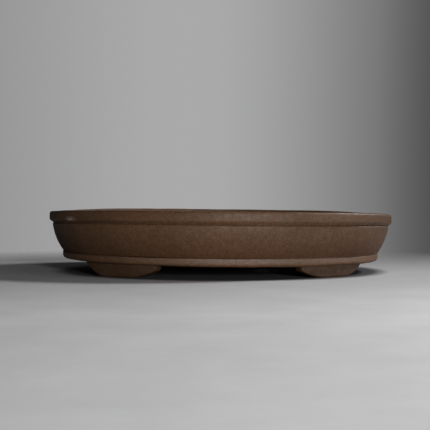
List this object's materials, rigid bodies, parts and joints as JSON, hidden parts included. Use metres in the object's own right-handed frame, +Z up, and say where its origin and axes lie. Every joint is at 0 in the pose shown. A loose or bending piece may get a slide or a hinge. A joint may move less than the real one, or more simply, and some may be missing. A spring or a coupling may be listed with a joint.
{
  "type": "bonsai pot",
  "caption": "Shallow oval unglazed stoneware pot on feet, with a drained floor, soil screens and wire clips, for growing a bonsai tree.",
  "frame": {"origin": "on the table under the middle of the pot", "axes": "+X along the pot's length to its right, +Y from the front to the back, +Z up"},
  "size_m": [0.36, 0.28, 0.064],
  "materials": {
    "clay_outer": "matte",
    "clay_floor": "matte",
    "clay_foot": "matte",
    "screen_plastic": "matte",
    "clip_wire": "satin"
  },
  "bodies": {
    "root": {"rim_band": "clay_outer", "pot_wall": "clay_outer", "belt_band": "clay_outer", "floor_slab": "clay_floor", "foot_front_left": "clay_foot", "foot_front_right": "clay_foot", "foot_back_left": "clay_foot", "foot_back_right": "clay_foot", "drain_screen_left": "screen_plastic", "drain_screen_right": "screen_plastic", "screen_clip_left": "clip_wire", "screen_clip_right": "clip_wire"}
  },
  "joints": []
}
